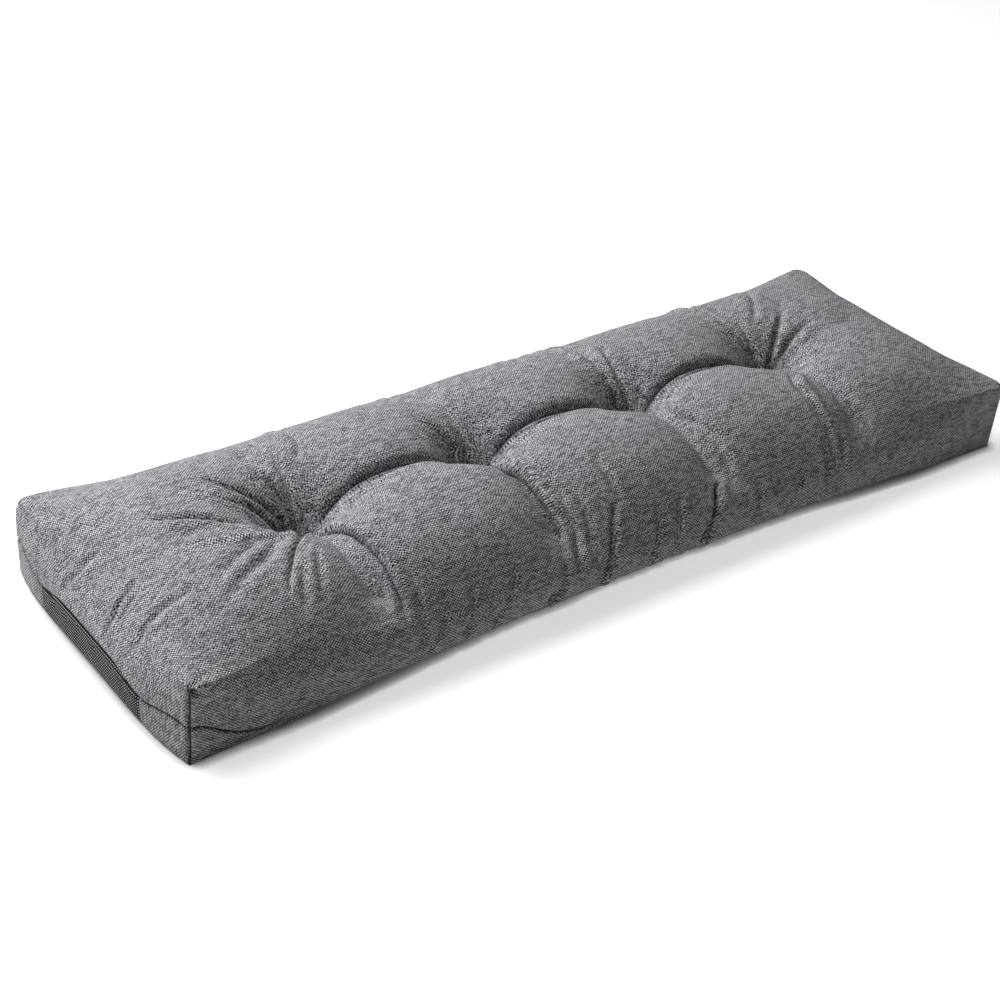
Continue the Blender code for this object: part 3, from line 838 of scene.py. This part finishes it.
WARP_STEP = 0.0017  # from one lengthwise yarn of the grey weave to the next
WEFT_STEP = 0.0020  # and from one crosswise yarn to the next
GREY_DARK = (0.012, 0.012, 0.014, 1)
GREY_LIGHT = (0.600, 0.600, 0.640, 1)
SEAM_STITCH_AND_PAINTED_SHADE = 0.88  # how much of the cloth's colour a seam's dark stitching and painted shade take away
WOBBLE, WOBBLE_LONG = 0.0006, 0.009  # how far yarns stray from a straight line, and how often
WARP_RUN, WEFT_RUN = 0.0120, 0.0032  # length over which a yarn changes its shade
WARP_SHADES, WEFT_SHADES = (0.42, 1.0), (0.0, 0.36)  # light yarns along it, darker ones across
YARN_APART = 0.73  # unlike neighbours: the noise's step from one yarn to the next is 1/this
YARN_SPREAD = (0.40, 0.60)  # the noise's middle range is spread to full contrast
YARN_DIP = 0.6  # height of a yarn where it goes under the next, of its height on top
GAP_PAINTED_SHADE = 0.30  # painted shade between yarns: their brightness there, of that on top of them
GAP_HEIGHT = 0.7  # and the height from which a yarn has its full brightness, free of that painted shade
SLUB_SHARE, SLUB_LONG, SLUB_THICK = 0.07, 0.040, 0.0022
GRAIN_SPREAD = (0.38, 0.62)  # the middle range of a noise, spread to full contrast
NOISE_ROUGH = 0.6
SHADE_RANGE = (0.10, 0.90)
WEAVE_BUMP = (0.0004, 0.6)  # distance and strength


def woven(n, p, q):
    """Shade and height of a plain weave: each yarn keeps its own shades and dips under the next."""
    stray = n.between(n.noise(p, q, WOBBLE_LONG, WOBBLE_LONG, 21.0), 0, 1, -WOBBLE, WOBBLE)
    p, q = n.math("ADD", p, stray), n.math("ADD", q, stray)
    along, across = n.math("DIVIDE", p, WEFT_STEP), n.math("DIVIDE", q, WARP_STEP)
    column, row = n.math("FLOOR", along), n.math("FLOOR", across)
    crossing = n.math("PINGPONG", n.math("ADD", column, row), 1.0)
    warp = n.between(n.noise(p, row, WARP_RUN, YARN_APART, 1.0, 1.0), *YARN_SPREAD, *WARP_SHADES)
    weft = n.between(n.noise(column, q, YARN_APART, WEFT_RUN, 5.0, 1.0), *YARN_SPREAD, *WEFT_SHADES)
    ridge_q = n.math("SINE", n.math("MULTIPLY", n.math("FRACT", across), pi))
    ridge_p = n.math("SINE", n.math("MULTIPLY", n.math("FRACT", along), pi))
    top_warp = n.math("MULTIPLY", ridge_q, n.between(ridge_p, 0, 1, YARN_DIP, 1))
    top_weft = n.math("MULTIPLY", ridge_p, n.between(ridge_q, 0, 1, YARN_DIP, 1))
    return n.either(crossing, warp, weft), n.either(crossing, top_warp, top_weft)


def grey_cloth():
    """Grey melange: plain weave of yarns whose shade changes along their length."""
    made, n, shader = new_material("grey_melange_cloth", {
        "Roughness": 0.92, "Specular IOR Level": 0.12, "Sheen Weight": 0.04,
        "Sheen Roughness": 0.5})
    p, q = n.net()
    yarn, height = woven(n, p, q)
    slub = n.between(n.noise(p, q, SLUB_LONG, SLUB_THICK, 17.0), *GRAIN_SPREAD)
    shade = n.math("ADD", n.math("MULTIPLY", yarn, 1 - SLUB_SHARE),
                   n.math("MULTIPLY", slub, SLUB_SHARE))
    # painted shade in the gaps between yarns, from the weave's height
    shade = n.math("MULTIPLY", n.between(shade, *SHADE_RANGE),
                   n.between(height, 0, GAP_HEIGHT, GAP_PAINTED_SHADE, 1))
    # dark stitching and painted shade of the seams, darkening the grey cloth
    dark = n.math("MULTIPLY", n.value("seam"), SEAM_STITCH_AND_PAINTED_SHADE)
    colour = n.mix(dark, n.mix(shade, GREY_DARK, GREY_LIGHT), GREY_DARK)
    n.fill(shader, (("Base Color", colour), ("Normal", n.bump(height, *WEAVE_BUMP))))
    return made


DOT_ROW = 0.0040  # from one row of dots on the dark cloth to the next
DOT_STEP = 0.0032  # from one dot to the next in a row
DOT_SIDES, DOT_ENDS = (.15, .07), (.31, .19)  # where a dot fades out, of its row and its step
DARK_GRAIN = (0.004, 0.0012)  # size of the dark cloth's grain along p and q
GRAIN_HEIGHT = 0.4  # of a dot's height
DARK_BUMP = (0.0005, 0.7)
BLACK = ((0.004, 0.004, 0.004, 1), (0.016, 0.016, 0.017, 1))
DOT_LIGHT = ((0.42, 0.42, 0.42, 1), (0.92, 0.92, 0.92, 1))


def dark_cloth():
    """Near-black cloth with rows of small light dots across the cushion."""
    made, n, shader = new_material("dark_dotted_cloth", {
        "Roughness": 0.8, "Specular IOR Level": 0.2})
    p, q = n.net()
    row = n.math("PINGPONG", n.math("DIVIDE", p, DOT_ROW), 0.5)
    column = n.math("PINGPONG", n.math("DIVIDE", q, DOT_STEP), 0.5)
    dot = n.math("MULTIPLY", n.between(row, *DOT_SIDES), n.between(column, *DOT_ENDS))
    grain = n.between(n.noise(p, q, *DARK_GRAIN, 3.0), *GRAIN_SPREAD)
    colour = n.mix(dot, n.mix(grain, *BLACK), n.mix(grain, *DOT_LIGHT))
    # dark stitching and painted shade of the seams, darkening the dark cloth
    dark = n.math("MULTIPLY", n.value("seam"), SEAM_STITCH_AND_PAINTED_SHADE)
    height = n.math("ADD", dot, n.math("MULTIPLY", grain, GRAIN_HEIGHT))
    n.fill(shader, (("Base Color", n.mix(dark, colour, BLACK[0])),
                    ("Normal", n.bump(height, *DARK_BUMP))))
    return made


# ---- pieces ----
def show(name, data, finish):
    data.materials.append(finish)
    made = bpy.data.objects.new(name, data)
    bpy.context.scene.collection.objects.link(made)
    return made


HIDDEN_LEVELS = ((0.046, 0.004), (0.026, 0.007), (0.008, 0.010))  # height on the box, and inset
HIDDEN_LOWEST = 0.006


def close_below(data):
    """Close the top shell under the bottom shell's cloth, in the same order each run."""
    mesh = bmesh.new()
    mesh.from_mesh(data)
    cloth = mesh.loops.layers.uv["cloth"]
    rim = [edge.link_loops[0] for edge in mesh.edges if edge.is_boundary]
    for level, inset in HIDDEN_LEVELS:
        flat = np.array([(*loop.vert.co.xy, level) for loop in rim])
        flat[:, :2] = np.clip(flat[:, :2], -HALF, HALF)
        places = puffed(flat)
        places[:, :2] -= inset * np.sign(places[:, :2])
        places[:, 2] = np.maximum(places[:, 2], HIDDEN_LOWEST)
        below = {loop.vert: mesh.verts.new(place, loop.vert) for loop, place in zip(rim, places)}
        for i, loop in enumerate(rim):
            ends = (loop.link_loop_next, loop)
            upper = [end.vert for end in ends]
            face = mesh.faces.new(upper + [below[vert] for vert in upper[::-1]])
            for corner, end in zip(face.loops, ends + ends[::-1]):
                corner[cloth].uv = end[cloth].uv
            rim[i] = face.loops[2]
    bmesh.ops.contextual_create(mesh, geom=[loop.edge for loop in rim])
    bmesh.ops.recalc_face_normals(mesh, faces=mesh.faces)
    mesh.to_mesh(data)
    mesh.free()
    data.shade_smooth()


def add_cushion(finish):
    creases = top_creases()
    net = Net(SIDE_DROP, TOP_STEP, CORNER_HEIGHT, 1, sharp=creases)
    data = net.mesh("cushion_top", formed(net, SIDE_DROP, creases, True),
                    seam_stitch_and_painted_shade(net, SIDE_DROP))
    close_below(data)
    made = show("cushion_top", data, finish)
    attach(made, "root")
    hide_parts("filled_body")


def add_under(name, node, slot, low_q, high_q, finish):
    net = Net(SEAM_HEIGHT, UNDER_STEP, 0.0, -1, low_q=low_q, high_q=high_q,
              seams=(PANEL_WIDTH / 2,))
    data = net.mesh(name, formed(net, SEAM_HEIGHT, under_creases(), False),
                    seam_stitch_and_painted_shade(net, SEAM_HEIGHT))
    made = show(name, data, finish)
    solid = made.modifiers.new("cloth thickness", "SOLIDIFY")
    solid.thickness = CLOTH
    solid.offset = -1
    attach(made, "root")
    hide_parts(node)
    long = LENGTH + 2 * SEAM_HEIGHT
    wide = high_q - low_q
    area = wide * long
    if slot == "grey_cloth":  # cut out at its two corners, and narrower where the seam sinks
        area -= 2 * SEAM_HEIGHT ** 2 + SEAM_DROP * (LENGTH - 2 * SEAM_DROP_REACH)


# ---- stage ----
FLOOR_SIZE = 20
FLOOR_COLOUR = (0.7, 0.7, 0.7, 1)
FLOOR_GLOW = 0.62  # the backlit white sweep that the cushion lies on
GLOW_SHARE = 0.7  # how much of that glow reaches the cushion
PAINTED_SHADOW_REACH = 0.014  # where the camera sees it, the sweep's glow is dimmed this close under and beside the cushion: a painted contact shadow
LIT_REACH = 0.25  # and its light on the cushion dims from this far
SHADE_POWER = 2.5
WORLD_LIGHT = 0.08
BACKDROP = 0.85  # brightness of the studio behind the sweep, where the camera sees it
Softbox = namedtuple("Softbox", "name place target size power")
SOFTBOXES = (Softbox("back", (-0.6, 1.4, 1.9), (-0.1, 0, 0), (2.2, 2.2), 103),
             Softbox("end", (-1.6, 0.7, 1.0), (-0.4, 0, 0), (1.0, 1.0), 9))


def seen_by_camera(n):
    """1 for what a picture shows directly, and 0 for the light that it throws on the cushion."""
    return n.new("LightPath").outputs["Is Camera Ray"]


def add_floor():
    data = bpy.data.meshes.new("floor")
    mesh = bmesh.new()
    bmesh.ops.create_grid(mesh, x_segments=1, y_segments=1, size=FLOOR_SIZE)
    mesh.to_mesh(data)
    mesh.free()
    made, n, shader = new_material("white_floor", {
        "Roughness": 0.9, "Base Color": FLOOR_COLOUR, "Specular IOR Level": 0.0,
        "Emission Color": (1, 1, 1, 1)})
    seen = seen_by_camera(n)
    # ambient occlusion dims the glow near the cushion: a painted contact shadow where the camera
    # sees the floor, and dimmer light thrown on the cushion's lower sides
    open_sky = n.new("AmbientOcclusion")
    open_sky.samples = 12
    reach = n.between(seen, 0, 1, LIT_REACH, PAINTED_SHADOW_REACH)
    open_sky = n.fill(open_sky, [("Distance", reach)])["AO"]
    glow = n.math("MULTIPLY", n.math("POWER", open_sky, SHADE_POWER), FLOOR_GLOW)
    glow = n.math("MULTIPLY", glow, n.between(seen, 0, 1, GLOW_SHARE, 1))
    n.fill(shader, [("Emission Strength", glow)])
    floor = show("floor", data, made)


def add_area(name, place, target, size, power):
    light = bpy.data.lights.new(name, "AREA")
    light.shape = "RECTANGLE"
    light.size, light.size_y = size
    light.energy = power
    made = bpy.data.objects.new(name, light)
    made.location = place
    made.rotation_euler = (Vector(target) - Vector(place)).to_track_quat("-Z", "Y").to_euler()
    bpy.context.scene.collection.objects.link(made)


def light_scene():
    world = bpy.data.worlds.new("studio")
    world.use_nodes = True
    n = Nodes(world.node_tree)
    strength = n.between(seen_by_camera(n), 0, 1, WORLD_LIGHT, BACKDROP)
    n.fill(world.node_tree.nodes["Background"], (("Color", (1, 1, 1, 1)), ("Strength", strength)))
    bpy.context.scene.world = world
    for softbox in SOFTBOXES:
        add_area(*softbox)
    bpy.context.scene.view_settings.view_transform = "Standard"


CAMERA_TARGET = Vector((-0.04784, 0.03341, 0))
CAMERA_AZIMUTH = radians(-40.249)
CAMERA_ELEVATION = radians(33.3306)
CAMERA_ROLL = radians(5.7308)
CAMERA_DISTANCE = 2.2591
CAMERA_LENS = 66.74


def add_camera():
    data = bpy.data.cameras.new("camera")
    data.sensor_width = 36
    data.lens = CAMERA_LENS
    made = bpy.data.objects.new("camera", data)
    level = cos(CAMERA_ELEVATION)
    back = Vector((sin(CAMERA_AZIMUTH) * level, -cos(CAMERA_AZIMUTH) * level, sin(CAMERA_ELEVATION)))
    made.location = CAMERA_TARGET + back * CAMERA_DISTANCE
    made.rotation_mode = "QUATERNION"
    made.rotation_quaternion = (-back).to_track_quat("-Z", "Y") @ Quaternion((0, 0, 1), CAMERA_ROLL)
    bpy.context.scene.collection.objects.link(made)
    bpy.context.scene.camera = made


def main():
    grey, dark = grey_cloth(), dark_cloth()
    add_cushion(grey)
    joint, rim = PANEL_WIDTH / 2, HALF[1] + SEAM_HEIGHT
    add_under("under_strip_front", "front_strip", "grey_cloth", -rim, -joint, grey)
    add_under("under_strip_back", "back_strip", "grey_cloth", joint, rim, grey)
    add_under("under_panel", "dark_panel", "dark_cloth", -joint, joint, dark)
    add_floor()
    light_scene()
    add_camera()


main()
